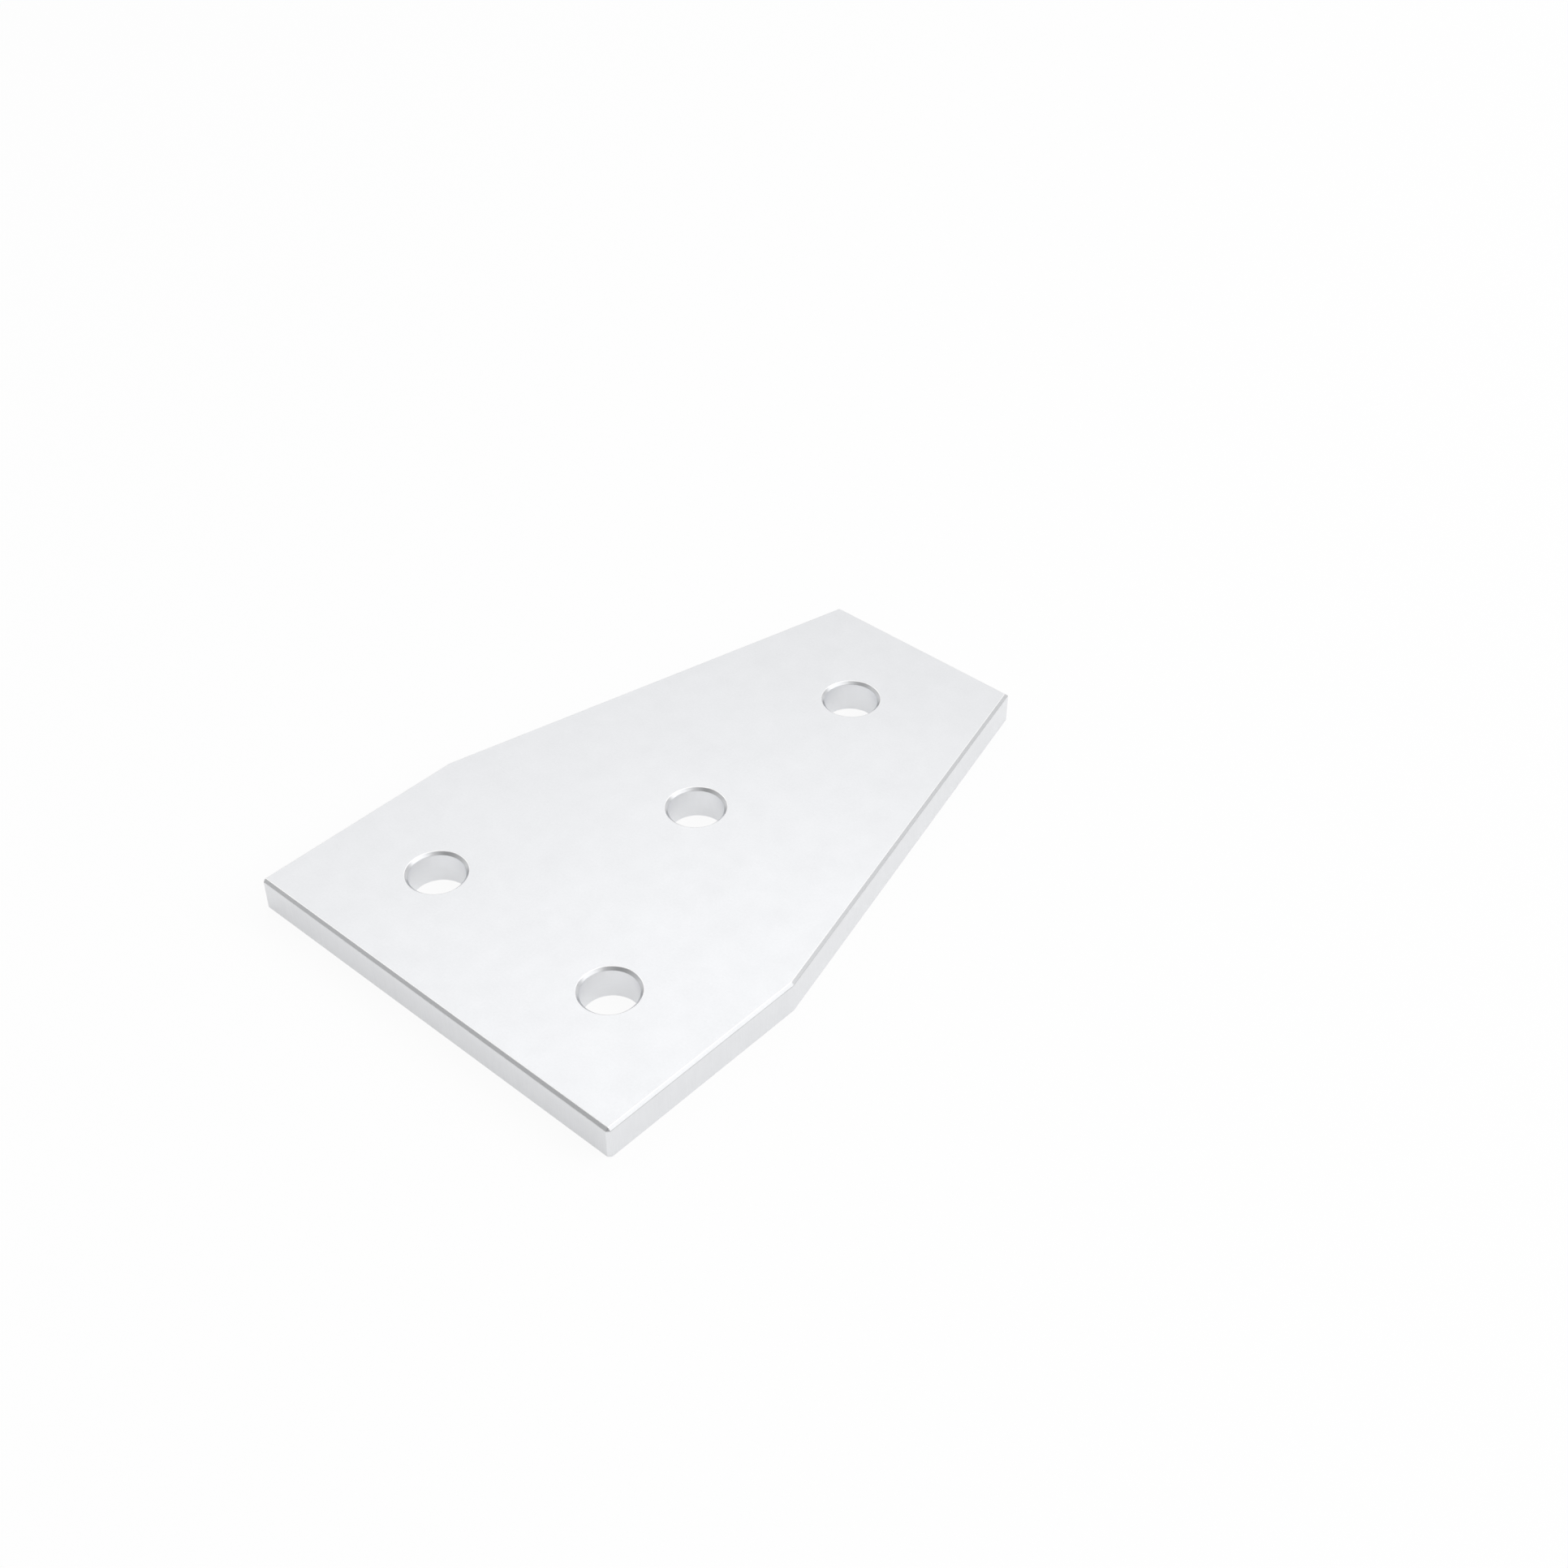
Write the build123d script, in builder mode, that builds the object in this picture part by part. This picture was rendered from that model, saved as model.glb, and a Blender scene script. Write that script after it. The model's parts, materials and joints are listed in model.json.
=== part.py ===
from build123d import *
import os

# T-shaped joining plate for framing extrusions. It lies flat across a joint and bolts the end of
# one extrusion square to the side of another. It is one piece of aluminium flat bar.
#
# Millimetres, +Z up. The underside at Z = 0 is the face that lies on the extrusions. The origin is
# where the centreline of the extrusion under the crossbar meets that of the extrusion under the
# stem. +X runs along the crossbar and +Y along the stem to the narrow end.

# The extrusions that the plate joins: the crossbar and the narrow end are as wide as one of them
extrusion_width = 40.0

# The plate
plate_width = 80.0  # along the crossbar
plate_length = 120.0  # from the wide edge to the narrow end
plate_thickness = 6.0

# The bolt holes, which sit over the slots in the middle of each extrusion
bolt_hole_diameter = 9.5  # clears an M8 bolt
hole_to_edge = 20.0  # from an outer hole's centre to the side or end of the plate beyond it
hole_to_joint = 20.0  # from the inner stem hole's centre to where the two extrusions meet

# Broken edges, all at 45 degrees
outline_chamfer = 0.5
hole_rim_chamfer = 0.5

# Where the outline turns, measured from the crossing of the two centrelines
wide_edge_y = -extrusion_width / 2
joint_y = extrusion_width / 2
narrow_end_y = wide_edge_y + plate_length

# Where the holes are, measured from the same point
crossbar_hole_x = plate_width / 2 - hole_to_edge
inner_stem_hole_y = joint_y + hole_to_joint
outer_stem_hole_y = narrow_end_y - hole_to_edge


with BuildPart() as joining_plate:

    # Outline: square over the crossbar, then tapered along the stem to one extrusion's width
    with BuildSketch():
        with BuildLine():
            Polyline(
                (0, wide_edge_y),
                (plate_width / 2, wide_edge_y),
                (plate_width / 2, joint_y),
                (extrusion_width / 2, narrow_end_y),
                (0, narrow_end_y),
            )
            mirror(about=Plane.YZ)
        make_face()
    extrude(amount=plate_thickness)

    # One chamfer runs round the top of the outline and down the two square corners of the wide
    # edge, where it meets itself in a small three-sided facet. The other corners stay sharp.
    top_outline = joining_plate.faces().sort_by(Axis.Z)[-1].edges()
    square_corners = joining_plate.edges().filter_by(Axis.Z).group_by(Axis.Y)[0]
    chamfer(top_outline + square_corners, length=outline_chamfer)

    # Two bolt holes across the crossbar and two along the stem
    with Locations(
        (-crossbar_hole_x, 0),
        (crossbar_hole_x, 0),
        (0, inner_stem_hole_y),
        (0, outer_stem_hole_y),
    ):
        Hole(bolt_hole_diameter / 2)

    # The top rim of each hole is broken too, while the underside stays sharp all over
    hole_rims = joining_plate.edges().filter_by(GeomType.CIRCLE).group_by(Axis.Z)[-1]
    chamfer(hole_rims, length=hole_rim_chamfer)

joining_plate.part.label = "joining_plate"

os.makedirs("parts", exist_ok=True)
export_step(joining_plate.part, "parts/joining_plate.step")
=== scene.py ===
import json
import math

import bmesh
import bpy
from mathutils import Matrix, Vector


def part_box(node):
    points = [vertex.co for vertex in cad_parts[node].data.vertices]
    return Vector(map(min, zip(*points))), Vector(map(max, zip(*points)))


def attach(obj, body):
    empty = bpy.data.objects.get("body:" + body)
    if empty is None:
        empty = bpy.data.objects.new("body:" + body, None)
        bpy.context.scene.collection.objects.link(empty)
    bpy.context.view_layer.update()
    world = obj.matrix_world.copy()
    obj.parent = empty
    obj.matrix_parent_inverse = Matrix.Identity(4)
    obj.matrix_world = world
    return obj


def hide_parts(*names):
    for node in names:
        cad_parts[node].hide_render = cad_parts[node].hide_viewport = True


# T-shaped joining plate for framing extrusions: one piece of aluminium flat bar with four bolt
# holes, its top edges broken at 45 degrees, etched satin and clear anodised. Everything is in
# metres, in the frame of the CAD model.

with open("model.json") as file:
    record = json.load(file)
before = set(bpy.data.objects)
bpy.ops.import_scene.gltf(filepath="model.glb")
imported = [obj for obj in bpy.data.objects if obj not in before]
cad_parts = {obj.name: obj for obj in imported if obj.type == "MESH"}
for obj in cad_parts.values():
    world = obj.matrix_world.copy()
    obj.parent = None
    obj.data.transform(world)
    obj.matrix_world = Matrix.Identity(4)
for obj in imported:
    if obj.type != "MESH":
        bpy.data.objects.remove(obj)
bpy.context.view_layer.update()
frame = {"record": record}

MM = 0.001
mounts = {mount["name"]: mount for mount in frame["record"]["mounts"]}
plate_low, plate_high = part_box("joining_plate")

# The bolt holes, in two rows: across the wide half of the plate and along its middle
hole_radius = mounts["crossbar_bolts"]["dims"]["hole_r_mm"] * MM
crossbar_middle = Vector(mounts["crossbar_bolts"]["pos_m"])
crossbar_step = Vector((mounts["crossbar_bolts"]["dims"]["spacing_x_mm"] * MM, 0.0, 0.0))
first_crossbar_hole = crossbar_middle - crossbar_step / 2
stem_middle = Vector(mounts["stem_bolts"]["pos_m"])
stem_step = Vector((0.0, mounts["stem_bolts"]["dims"]["spacing_y_mm"] * MM, 0.0))
first_stem_hole = stem_middle - stem_step / 2
hole_centres = [
    first_crossbar_hole,
    first_crossbar_hole + crossbar_step,
    first_stem_hole,
    first_stem_hole + stem_step,
]

# The crossbar's bolts lie along the middle of the extrusion under the wide edge, and the plate is
# as wide as one extrusion at its narrow end
extrusion_width = 2 * (crossbar_middle.y - plate_low.y)

# Sizes that the frame's box and mounts don't give
edge_break = 0.5 * MM  # 45 degree chamfer along the top edges, hole rims and wide-edge corners
edge_softening = 0.04 * MM  # what the etch leaves of each sharp edge
worked_softening = 0.08 * MM  # the same where the top edges were brushed or have been handled
softening_steps = 3  # flats across a softened edge
hole_sides = 128  # flats round a hole

# How corners and edges of the mesh are told apart
doubled_corner = 0.001 * MM  # corners nearer than this are one
on_the_edge = edge_break / 3  # a place nearer than this to an edge is on it
along_top = 0.9  # an edge whose middle is above this share of the thickness runs along the top
along_underside = 0.1  # and one whose middle is below this share, along the underside
crisp_bend = math.radians(30.0)  # the least bend of an edge that is broken
softened_bend = math.radians(6.0)  # the least bend of one that is softened: a hole's flats bend 3

# How faces are told apart, by how much their normal points up: a chamfer's has 0.71
flat_slope = 0.995  # the least that a flat face has, up or down
highlight_line_slope = 0.75  # the least that the softened edge above a chamfer has
upright_slope = 0.2  # the most that a hole's wall has
shade_line_slopes = (0.05, 0.65)  # the least and most that the softened edge below a chamfer has


# ---------------------------------------------------------------------------------------------
# Small helpers
# ---------------------------------------------------------------------------------------------


def linear(hex_colour):
    """An sRGB hex colour as the linear RGBA that Blender's sockets take."""
    levels = [int(hex_colour[i : i + 2], 16) / 255 for i in (1, 3, 5)]
    return (*(v / 12.92 if v <= 0.04045 else ((v + 0.055) / 1.055) ** 2.4 for v in levels), 1.0)


def add_node(tree, kind, settings=None, inputs=None):
    """Adds a node with its settings. An input is a value, a socket to link from, or a list of
    such sockets."""
    node = tree.nodes.new(kind)
    for name, value in (settings or {}).items():
        setattr(node, name, value)
    for key, value in (inputs or {}).items():
        for source in value if isinstance(value, list) else [value]:
            if isinstance(source, bpy.types.NodeSocket):
                tree.links.new(source, node.inputs[key])
            else:
                node.inputs[key].default_value = source
    return node


def emptied_tree(owner):
    """The node tree of a material or world, with nothing in it yet."""
    owner.use_nodes = True
    owner.node_tree.nodes.clear()
    return owner.node_tree


def add_object(name, data):
    """An object at the origin, in the scene's own collection."""
    thing = bpy.data.objects.new(name, data)
    bpy.context.scene.collection.objects.link(thing)
    return thing


def direction(bearing, elevation):
    """The unit vector at that bearing from +X, anticlockwise, and elevation, in degrees."""
    b, e = math.radians(bearing), math.radians(elevation)
    return Vector((math.cos(b) * math.cos(e), math.sin(b) * math.cos(e), math.sin(e)))


def place_facing(thing, aim, towards, distance):
    """Stands a lamp or camera at that distance from aim, in the direction towards, facing aim."""
    thing.location = aim + towards * distance
    thing.rotation_euler = towards.to_track_quat("Z", "Y").to_euler()


# ---------------------------------------------------------------------------------------------
# Camera
# ---------------------------------------------------------------------------------------------

# It stands off the wide edge's right corner and looks down across the plate
camera_aim = Vector((2.22 * MM, 59.66 * MM, 0.0))
camera_bearing = -48.007
camera_elevation = 40.002
camera_distance = 380.0 * MM


def make_camera():
    lens = bpy.data.cameras.new("camera")
    lens.sensor_width = 36.0
    lens.lens = 49.96
    lens.clip_start = 0.01
    camera = add_object("camera", lens)
    place_facing(camera, camera_aim, direction(camera_bearing, camera_elevation), camera_distance)
    bpy.context.scene.camera = camera


# ---------------------------------------------------------------------------------------------
# Finishes of the plate
# ---------------------------------------------------------------------------------------------

film_cloud_size = 4 * MM  # how far apart the film's thickness rises and falls
film_cloud_share = 0.8  # how much the film's clouds count beside the tool's marks
darkest, palest = 0.45, 1.35  # sums of marks and clouds at which a finish is so


def anodised_aluminium(name, dark, light, marks_mm, smooth, rough, relief_mm):
    """Aluminium under a clear anodic film: bare metal's colour, a broad soft highlight, and tone
    that clouds a little where the film's thickness wanders. dark and light are its colours,
    marks_mm the size of its marks along X, Y and Z, smooth and rough its least and greatest
    roughness, and relief_mm how deep its marks are."""
    material = bpy.data.materials.new(name)
    tree = emptied_tree(material)
    place = add_node(tree, "ShaderNodeTexCoord").outputs["Object"]

    # The marks that the etch or the tool left, stretched along the way that it ran
    along_marks = add_node(
        tree,
        "ShaderNodeMapping",
        inputs={"Vector": place, "Scale": tuple(1 / (size * MM) for size in marks_mm)},
    ).outputs[0]
    marks = add_node(
        tree,
        "ShaderNodeTexNoise",
        inputs={"Vector": along_marks, "Scale": 1.0, "Detail": 2.0, "Roughness": 0.6},
    ).outputs[0]
    clouds = add_node(
        tree,
        "ShaderNodeTexNoise",
        inputs={"Vector": place, "Scale": 1 / film_cloud_size, "Detail": 3.0, "Roughness": 0.5},
    ).outputs[0]
    marks_and_clouds = add_node(
        tree,
        "ShaderNodeMath",
        {"operation": "MULTIPLY_ADD"},
        {0: clouds, 1: film_cloud_share, 2: marks},
    ).outputs[0]

    # Colour and roughness follow them both, and relief only the marks
    spread = {"Value": marks_and_clouds, "From Min": darkest, "From Max": palest}
    tone = add_node(tree, "ShaderNodeMapRange", inputs=spread).outputs[0]
    colour = add_node(
        tree,
        "ShaderNodeMix",
        {"data_type": "RGBA"},
        {0: tone, 6: linear(dark), 7: linear(light)},
    ).outputs[2]
    roughness = add_node(
        tree, "ShaderNodeMapRange", inputs={**spread, "To Min": rough, "To Max": smooth}
    ).outputs[0]
    relief = add_node(
        tree,
        "ShaderNodeBump",
        inputs={"Strength": 1.0, "Distance": relief_mm * MM, "Height": marks},
    ).outputs[0]
    shader = add_node(
        tree,
        "ShaderNodeBsdfPrincipled",
        inputs={
            "Base Color": colour,
            "Metallic": 1.0,
            "Roughness": roughness,
            "Normal": relief,
        },
    ).outputs[0]
    add_node(tree, "ShaderNodeOutputMaterial", inputs={"Surface": shader})
    return material


# Faces of the flat bar, etched in caustic soda: fine grain with no direction, which kills the
# glare. Its real grain of 0.1 mm is drawn four times as coarse, to show.
etched_face = anodised_aluminium(
    "etched_face_anodised_aluminium",
    dark="#EAEBED",
    light="#F0F1F3",
    marks_mm=(0.4, 0.4, 0.4),
    smooth=0.28,
    rough=0.32,
    relief_mm=0.003,
)

# Edges and chamfers run past a milling cutter before the etch: short upright ripples, one for
# each tooth, drawn at 0.3 mm instead of 0.1 mm, to show.
milled_edge = anodised_aluminium(
    "milled_edge_anodised_aluminium",
    dark="#EAEBED",
    light="#F0F1F3",
    marks_mm=(0.3, 0.3, 4.0),
    smooth=0.28,
    rough=0.32,
    relief_mm=0.001,
)

# Walls of the bolt holes, drilled and reamed, with faint rings drawn at 0.25 mm instead of the
# reamer's 0.1 mm, to show. Their paler colour is painted light against the shade in the holes.
reamed_hole_painted_light = anodised_aluminium(
    "reamed_hole_painted_light_anodised_aluminium",
    dark="#F4F5F7",
    light="#F8F9FB",
    marks_mm=(6.0, 6.0, 0.25),
    smooth=0.27,
    rough=0.31,
    relief_mm=0.002,
)

# The outline's edges just below the chamfer: a fine darker line, painted shade standing for a dark
# reflection on the rounded edge. Its marks are as long as real scuffs, about 0.6 mm.
painted_shade_line = anodised_aluminium(
    "painted_shade_line_anodised_aluminium",
    dark="#D0D1D2",
    light="#DEDFE0",
    marks_mm=(0.6, 0.6, 0.6),
    smooth=0.3,
    rough=0.36,
    relief_mm=0.002,
)

# Where the top face turns into the chamfers and the hole rims: a fine bright line, a painted
# highlight on the rounded edge, and a little smoother too. Its marks are as long as the shade
# line's.
painted_highlight_line = anodised_aluminium(
    "painted_highlight_line_anodised_aluminium",
    dark="#FBFBFC",
    light="#FFFFFF",
    marks_mm=(0.6, 0.6, 0.6),
    smooth=0.2,
    rough=0.26,
    relief_mm=0.001,
)


# ---------------------------------------------------------------------------------------------
# The plate
# ---------------------------------------------------------------------------------------------


def plate_tree():
    """The plate with its bolt holes, by rule from its sizes: an outline of three corners on the
    right and the same three on the left, and one round hole at each place of the two rows, all
    filled and thickened. The edges that are broken at 45 degrees are marked for the bevel that
    follows."""
    tree = bpy.data.node_groups.new("joining_plate_by_rule", "GeometryNodeTree")
    for name, kind in (
        ("Wide edge corner", "NodeSocketVector"),
        ("Shoulder corner", "NodeSocketVector"),
        ("Narrow end corner", "NodeSocketVector"),
        ("Thickness", "NodeSocketFloat"),
        ("First crossbar hole", "NodeSocketVector"),
        ("Crossbar hole step", "NodeSocketVector"),
        ("First stem hole", "NodeSocketVector"),
        ("Stem hole step", "NodeSocketVector"),
        ("Hole radius", "NodeSocketFloat"),
        ("Hole sides", "NodeSocketInt"),
    ):
        tree.interface.new_socket(name, in_out="INPUT", socket_type=kind)
    tree.interface.new_socket("Plate", in_out="OUTPUT", socket_type="NodeSocketGeometry")
    size = add_node(tree, "NodeGroupInput").outputs

    # The outline: up the right side, then down the left with X turned round
    right_side = [size["Wide edge corner"], size["Shoulder corner"], size["Narrow end corner"]]
    corners = right_side + right_side[::-1]
    index = add_node(tree, "GeometryNodeInputIndex").outputs[0]
    corner = add_node(tree, "GeometryNodeIndexSwitch", {"data_type": "VECTOR"}, {"Index": index})
    while len(corner.index_switch_items) < len(corners):
        corner.index_switch_items.new()
    for i, source in enumerate(corners):
        tree.links.new(source, corner.inputs[i + 1])
    on_left = add_node(
        tree,
        "ShaderNodeMath",
        {"operation": "GREATER_THAN"},
        {0: index, 1: len(right_side) - 0.5},
    ).outputs[0]
    # 1 on the right, -1 on the left
    side = add_node(
        tree, "ShaderNodeMath", {"operation": "MULTIPLY_ADD"}, {0: on_left, 1: -2.0, 2: 1.0}
    ).outputs[0]
    turned = add_node(tree, "ShaderNodeCombineXYZ", inputs={0: side, 1: 1.0, 2: 1.0}).outputs[0]
    corner_place = add_node(
        tree,
        "ShaderNodeVectorMath",
        {"operation": "MULTIPLY"},
        {0: corner.outputs[0], 1: turned},
    ).outputs[0]
    points = add_node(
        tree, "GeometryNodePoints", inputs={"Count": len(corners), "Position": corner_place}
    ).outputs[0]
    open_outline = add_node(
        tree, "GeometryNodePointsToCurves", inputs={"Points": points}
    ).outputs[0]
    outline = add_node(
        tree, "GeometryNodeSetSplineCyclic", inputs={"Geometry": open_outline, "Cyclic": True}
    ).outputs[0]

    # The bolt holes, two to a row
    rows = [
        add_node(
            tree,
            "GeometryNodeMeshLine",
            inputs={"Count": 2, "Start Location": size[first], "Offset": size[step]},
        ).outputs[0]
        for first, step in (
            ("First crossbar hole", "Crossbar hole step"),
            ("First stem hole", "Stem hole step"),
        )
    ]
    hole_places = add_node(tree, "GeometryNodeJoinGeometry", inputs={"Geometry": rows}).outputs[0]
    hole = add_node(
        tree,
        "GeometryNodeCurvePrimitiveCircle",
        inputs={"Resolution": size["Hole sides"], "Radius": size["Hole radius"]},
    ).outputs[0]
    holes = add_node(
        tree, "GeometryNodeInstanceOnPoints", inputs={"Points": hole_places, "Instance": hole}
    ).outputs[0]
    hole_curves = add_node(
        tree, "GeometryNodeRealizeInstances", inputs={"Geometry": holes}
    ).outputs[0]

    # A flat face with its holes, then the thickness
    curves = add_node(
        tree, "GeometryNodeJoinGeometry", inputs={"Geometry": [outline, hole_curves]}
    ).outputs[0]
    flat = add_node(tree, "GeometryNodeFillCurve", {"mode": "NGONS"}, {"Curve": curves}).outputs[0]
    raised = add_node(
        tree,
        "GeometryNodeExtrudeMesh",
        {"mode": "FACES"},
        {
            "Mesh": flat,
            "Offset": (0.0, 0.0, 1.0),
            "Offset Scale": size["Thickness"],
            "Individual": False,
        },
    ).outputs[0]
    underside = add_node(tree, "GeometryNodeFlipFaces", inputs={"Mesh": flat}).outputs[0]
    both = add_node(
        tree, "GeometryNodeJoinGeometry", inputs={"Geometry": [raised, underside]}
    ).outputs[0]
    closed = add_node(
        tree,
        "GeometryNodeMergeByDistance",
        inputs={"Geometry": both, "Distance": doubled_corner},
    ).outputs[0]

    # The broken edges: all of the top's, and the upright ones at the wide edge's two corners
    bend = add_node(tree, "GeometryNodeInputMeshEdgeAngle").outputs["Unsigned Angle"]
    crisp = add_node(
        tree, "ShaderNodeMath", {"operation": "GREATER_THAN"}, {0: bend, 1: crisp_bend}
    ).outputs[0]
    place = add_node(tree, "GeometryNodeInputPosition").outputs[0]
    middle = add_node(tree, "ShaderNodeSeparateXYZ", inputs={0: place}).outputs
    height = add_node(
        tree, "ShaderNodeMath", {"operation": "DIVIDE"}, {0: middle["Z"], 1: size["Thickness"]}
    ).outputs[0]
    near_top = add_node(
        tree, "ShaderNodeMath", {"operation": "GREATER_THAN"}, {0: height, 1: along_top}
    ).outputs[0]
    off_underside = add_node(
        tree, "ShaderNodeMath", {"operation": "GREATER_THAN"}, {0: height, 1: along_underside}
    ).outputs[0]
    wide_edge = add_node(
        tree, "ShaderNodeSeparateXYZ", inputs={0: size["Wide edge corner"]}
    ).outputs["Y"]
    on_wide_edge = add_node(
        tree,
        "ShaderNodeMath",
        {"operation": "COMPARE"},
        {0: middle["Y"], 1: wide_edge, 2: on_the_edge},
    ).outputs[0]
    upright_corner = add_node(
        tree, "ShaderNodeMath", {"operation": "MULTIPLY"}, {0: off_underside, 1: on_wide_edge}
    ).outputs[0]
    chosen = add_node(
        tree, "ShaderNodeMath", {"operation": "MAXIMUM"}, {0: near_top, 1: upright_corner}
    ).outputs[0]
    broken = add_node(
        tree, "ShaderNodeMath", {"operation": "MULTIPLY"}, {0: crisp, 1: chosen}
    ).outputs[0]
    marked = add_node(
        tree,
        "GeometryNodeStoreNamedAttribute",
        {"data_type": "FLOAT", "domain": "EDGE"},
        {"Geometry": closed, "Name": "bevel_weight_edge", "Value": broken},
    ).outputs[0]
    smooth = add_node(tree, "GeometryNodeSetShadeSmooth", inputs={"Geometry": marked}).outputs[0]
    real = add_node(tree, "GeometryNodeRealizeInstances", inputs={"Geometry": smooth}).outputs[0]
    finished = add_node(
        tree, "GeometryNodeSetMaterial", inputs={"Geometry": real, "Material": etched_face}
    ).outputs[0]
    add_node(tree, "NodeGroupOutput", inputs={0: finished})
    return tree


def add_bevel(draft, name, width, segments):
    """A bevel of the marked edges, each as wide as its mark's share of that width."""
    bevel = draft.modifiers.new(name, "BEVEL")
    bevel.limit_method = "WEIGHT"
    bevel.width = width
    bevel.segments = segments
    bevel.use_clamp_overlap = False
    bevel.loop_slide = False
    return bevel


def as_mesh(draft, name):
    """The object with its modifiers applied, as a mesh of that name. The object goes."""
    bpy.context.view_layer.update()
    evaluated = draft.evaluated_get(bpy.context.evaluated_depsgraph_get())
    mesh = bpy.data.meshes.new_from_object(evaluated)
    mesh.name = name
    bpy.data.objects.remove(draft)
    return mesh


def in_hole(place):
    """True for a place on a bolt hole's wall or rim, with a chamfer's width to spare."""
    reach = hole_radius + 2 * edge_break
    return any((place - centre).xy.length < reach for centre in hole_centres)


def below_chamfer(place):
    """True for a place on the outline where the chamfer meets the wall."""
    at_height = abs(place.z - (plate_high.z - edge_break)) < on_the_edge
    return at_height and not in_hole(place)


def at_top_edge(place):
    """True for a place where the top face turns into a chamfer or a hole's rim."""
    return place.z > plate_high.z - on_the_edge


def mark_softened_edges(mesh):
    """Marks how much each edge is rounded, as a share of the roundest."""
    shell = bmesh.new()
    shell.from_mesh(mesh)
    share = shell.edges.layers.float["bevel_weight_edge"]
    for edge in shell.edges:
        middle = (edge.verts[0].co + edge.verts[1].co) / 2
        worked = below_chamfer(middle) or at_top_edge(middle)
        rounding = worked_softening if worked else edge_softening
        bends = edge.calc_face_angle() > softened_bend
        edge[share] = rounding / worked_softening if bends else 0.0
    shell.to_mesh(mesh)
    shell.free()


def give_finishes(mesh):
    """Gives each face its finish: the workshop's on most, a painted highlight line above the
    chamfers, a painted shade line below them, and painted light on the holes' walls.
    """
    for finish in (milled_edge, reamed_hole_painted_light, painted_shade_line, painted_highlight_line):
        mesh.materials.append(finish)
    index = {material: i for i, material in enumerate(mesh.materials)}
    for face in mesh.polygons:
        slope = face.normal.z
        if abs(slope) > flat_slope:
            finish = etched_face
        # the rounded edge above a chamfer gets the painted highlight line
        elif at_top_edge(face.center) and slope > highlight_line_slope:
            finish = painted_highlight_line
        # a hole's wall: reamed rings on a colour made paler as painted light
        elif in_hole(face.center) and abs(slope) < upright_slope:
            finish = reamed_hole_painted_light
        # the rounded edge below a chamfer gets the painted shade line
        elif below_chamfer(face.center) and shade_line_slopes[0] < slope < shade_line_slopes[1]:
            finish = painted_shade_line
        else:
            finish = milled_edge
        face.material_index = index[finish]


def make_plate():
    """Makes the plate by rule, breaks its marked edges, softens what is left sharp, and gives its
    faces their finishes."""
    sizes = {
        "Wide edge corner": (plate_high.x, plate_low.y, 0.0),
        "Shoulder corner": (plate_high.x, plate_low.y + extrusion_width, 0.0),
        "Narrow end corner": (extrusion_width / 2, plate_high.y, 0.0),
        "Thickness": plate_high.z - plate_low.z,
        "First crossbar hole": first_crossbar_hole,
        "Crossbar hole step": crossbar_step,
        "First stem hole": first_stem_hole,
        "Stem hole step": stem_step,
        "Hole radius": hole_radius,
        "Hole sides": hole_sides,
    }
    draft = add_object("plate_by_rule", bpy.data.meshes.new("plate_by_rule"))
    by_rule = draft.modifiers.new("by_rule", "NODES")
    by_rule.node_group = plate_tree()
    for item in by_rule.node_group.interface.items_tree:
        if item.in_out == "INPUT":
            by_rule[item.identifier] = sizes[item.name]
    add_bevel(draft, "broken_edges", edge_break, 1)
    sharp = as_mesh(draft, "sharp_joining_plate")

    mark_softened_edges(sharp)
    draft = add_object("sharp_joining_plate", sharp)
    softened = add_bevel(draft, "softened_edges", worked_softening, softening_steps)
    softened.harden_normals = True
    mesh = as_mesh(draft, "satin_joining_plate")
    bpy.data.meshes.remove(sharp)
    give_finishes(mesh)

    plate = add_object("satin_joining_plate", mesh)
    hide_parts("joining_plate")
    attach(plate, "root")


# ---------------------------------------------------------------------------------------------
# Studio
# ---------------------------------------------------------------------------------------------

# The table top, flat to its radius and then swept up in an arc
table_radius = 1.2
table_sweep_radius = 1.5
table_sweep_angle = math.radians(58.0)
table_sweep_steps = 8
table_sides = 96
table_gap = 0.01 * MM  # between the table and the plate, so that they don't share a plane

# How much of the table's tone is its own white and not the lamps', to the camera and in
# reflections
own_white_to_camera = 0.92
own_white_in_reflections = 0.5

# The room grows lighter towards one bearing and elevation, between two cosines of the angle from
# there. The first is past -1, so the room never gets quite as dark as its darkest. Up the walls
# that lightness counts from the horizon's share to the whole at the ceiling, and in the dark
# middle of the ceiling it falls to the zenith's share. Heights are the upward share of a
# direction, and a lightness of 1 is white.
room = {
    "lighter towards": (122.6, -43.0),
    "dark until": -1.294,
    "light from": 0.188,
    "dark": 0.177,
    "light": 1.072,
    "ceiling from": 0.757,
    "horizon": 0.149,
    "dark middle from": 0.7,
    "zenith": 0.01,
}

# The lamps, all as far from the middle of the plate. Metal mirrors the softboxes, but not the low
# lamp, which only shapes the plate's shadow.
lamp_distance = 1.5
lamps = {
    "softbox_above": dict(
        bearing=163.2, elevation=88.5, width=2.01, height=2.76, brightness=0.344, mirrored=True
    ),
    "softbox_right": dict(
        bearing=22.7, elevation=63.0, width=1.81, height=3.10, brightness=0.603, mirrored=True
    ),
    "table_lamp": dict(
        bearing=45.0, elevation=28.0, width=1.2, height=0.8, brightness=2.40, mirrored=False
    ),
}


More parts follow.
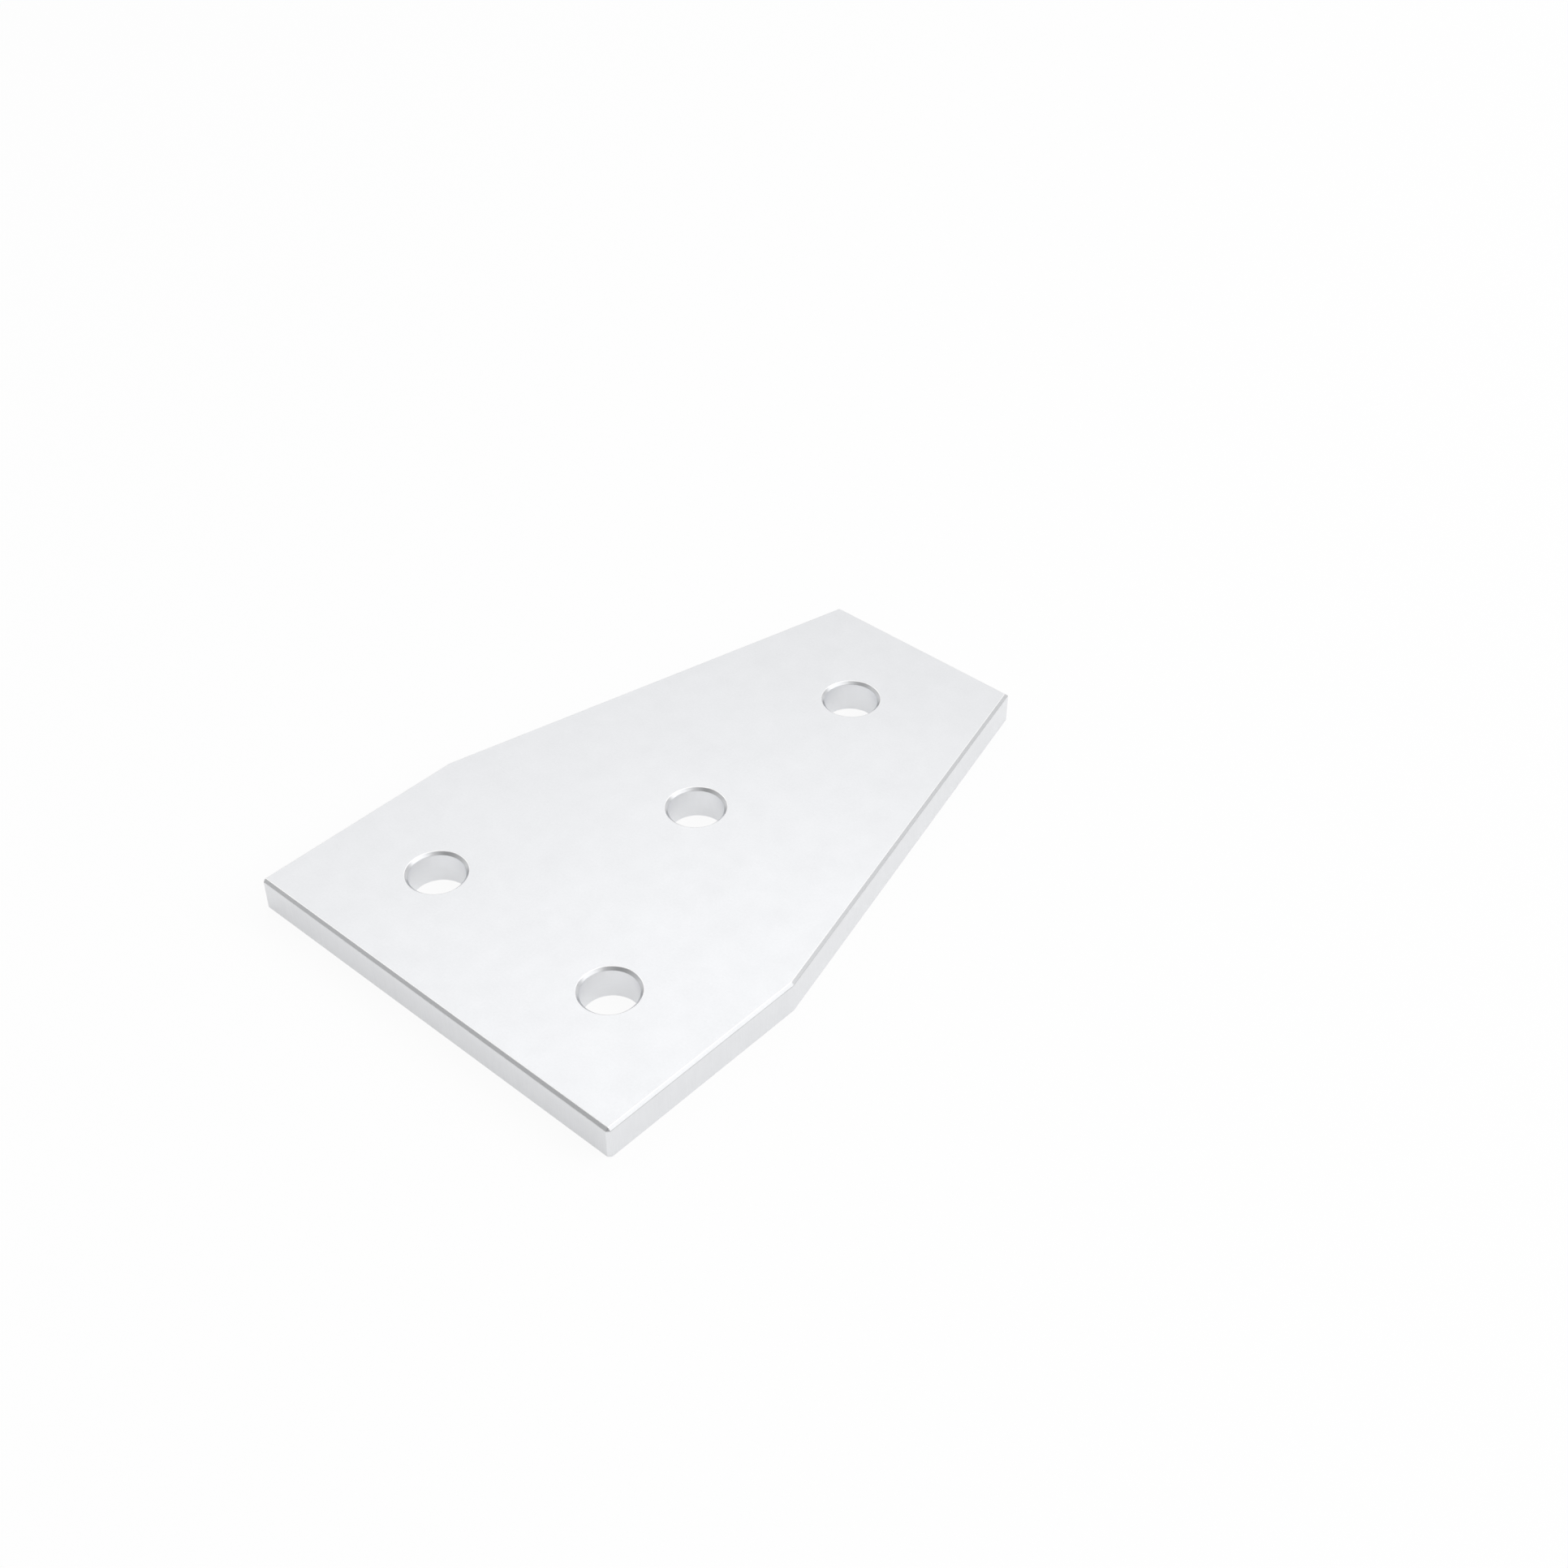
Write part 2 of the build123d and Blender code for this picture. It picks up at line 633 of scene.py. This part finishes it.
def white_table():
    """Matt white table top. Its own white shows to the camera and, less, in reflections. The rest
    of its tone is lit by the lamps, which keeps the plate's soft shadow."""
    material = bpy.data.materials.new("matt_white_table_top")
    tree = emptied_tree(material)
    ray = add_node(tree, "ShaderNodeLightPath").outputs
    reflected = add_node(
        tree,
        "ShaderNodeMath",
        {"operation": "ADD", "use_clamp": True},
        {0: ray["Is Glossy Ray"], 1: ray["Is Transmission Ray"]},
    ).outputs[0]
    in_reflections = add_node(
        tree,
        "ShaderNodeMath",
        {"operation": "MULTIPLY"},
        {0: reflected, 1: own_white_in_reflections},
    ).outputs[0]
    own_share = add_node(
        tree,
        "ShaderNodeMath",
        {"operation": "MULTIPLY_ADD"},
        {0: ray["Is Camera Ray"], 1: own_white_to_camera, 2: in_reflections},
    ).outputs[0]
    lit = add_node(tree, "ShaderNodeBsdfDiffuse", inputs={"Color": linear("#FAFAFA")}).outputs[0]
    own = add_node(
        tree, "ShaderNodeEmission", inputs={"Color": linear("#FFFFFF"), "Strength": 1.0}
    ).outputs[0]
    mixed = add_node(tree, "ShaderNodeMixShader", inputs={0: own_share, 1: lit, 2: own}).outputs[0]
    add_node(tree, "ShaderNodeOutputMaterial", inputs={"Surface": mixed})
    return material


def make_table():
    """A round table top that sweeps up at its far rim, so the horizon is white too."""
    height = plate_low.z - table_gap
    rings = [(table_radius, 0.0)]
    for step in range(1, table_sweep_steps + 1):
        turn = table_sweep_angle * step / table_sweep_steps
        radius = table_radius + table_sweep_radius * math.sin(turn)
        rings.append((radius, table_sweep_radius * (1 - math.cos(turn))))
    verts = [(0.0, 0.0, height)]
    for radius, rise in rings:
        for side in range(table_sides):
            turn = 2 * math.pi * side / table_sides
            verts.append((radius * math.cos(turn), radius * math.sin(turn), height + rise))
    faces = [(0, 1 + side, 1 + (side + 1) % table_sides) for side in range(table_sides)]
    for ring in range(len(rings) - 1):
        near, far = 1 + ring * table_sides, 1 + (ring + 1) * table_sides
        for side in range(table_sides):
            after = (side + 1) % table_sides
            faces.append((near + side, far + side, far + after, near + after))
    mesh = bpy.data.meshes.new("table_top")
    mesh.from_pydata(verts, [], faces)
    mesh.polygons.foreach_set("use_smooth", [True] * len(mesh.polygons))
    mesh.materials.append(white_table())
    add_object("table_top", mesh)


def make_room():
    """A pale room, with an unlit corner where the camera stands and with walls and the middle of
    the ceiling darker than the ceiling round it."""
    world = bpy.data.worlds.new("studio")
    bpy.context.scene.world = world
    tree = emptied_tree(world)
    looking = add_node(tree, "ShaderNodeTexCoord").outputs["Generated"]
    towards_light = add_node(
        tree,
        "ShaderNodeVectorMath",
        {"operation": "DOT_PRODUCT"},
        {0: looking, 1: direction(*room["lighter towards"])},
    ).outputs["Value"]
    height = add_node(tree, "ShaderNodeSeparateXYZ", inputs={0: looking}).outputs["Z"]
    across, walls, ceiling = (
        add_node(
            tree,
            "ShaderNodeMapRange",
            {"interpolation_type": "SMOOTHSTEP"},
            {"Value": value, "From Min": start, "From Max": end, "To Min": low, "To Max": high},
        ).outputs[0]
        for value, start, end, low, high in (
            (towards_light, room["dark until"], room["light from"], room["dark"], room["light"]),
            (height, 0.0, room["ceiling from"], room["horizon"], 1.0),
            (height, room["dark middle from"], 1.0, 1.0, room["zenith"]),
        )
    )
    upright = add_node(
        tree, "ShaderNodeMath", {"operation": "MULTIPLY"}, {0: walls, 1: ceiling}
    ).outputs[0]
    lit = add_node(
        tree, "ShaderNodeMath", {"operation": "MULTIPLY"}, {0: across, 1: upright}
    ).outputs[0]
    room_light = add_node(
        tree, "ShaderNodeBackground", inputs={"Color": linear("#FFFFFF"), "Strength": lit}
    ).outputs[0]
    add_node(tree, "ShaderNodeOutputWorld", inputs={"Surface": room_light})


def make_lamp(name, bearing, elevation, width, height, brightness, mirrored):
    """A soft lamp that faces the plate. Its brightness is how light its face is, 1 being white,
    and mirrored says whether metal shows it."""
    lamp = bpy.data.lights.new(name, "AREA")
    lamp.shape = "RECTANGLE"
    lamp.size = width
    lamp.size_y = height
    lamp.energy = brightness * math.pi * width * height
    thing = add_object(name, lamp)
    plate_middle = Vector((0.0, (plate_low.y + plate_high.y) / 2, 0.0))
    place_facing(thing, plate_middle, direction(bearing, elevation), lamp_distance)
    thing.visible_camera = False
    thing.visible_glossy = mirrored


bpy.context.scene.view_settings.view_transform = "Standard"
make_camera()
make_room()
for lamp_name, lamp_sizes in lamps.items():
    make_lamp(lamp_name, **lamp_sizes)
make_table()
make_plate()
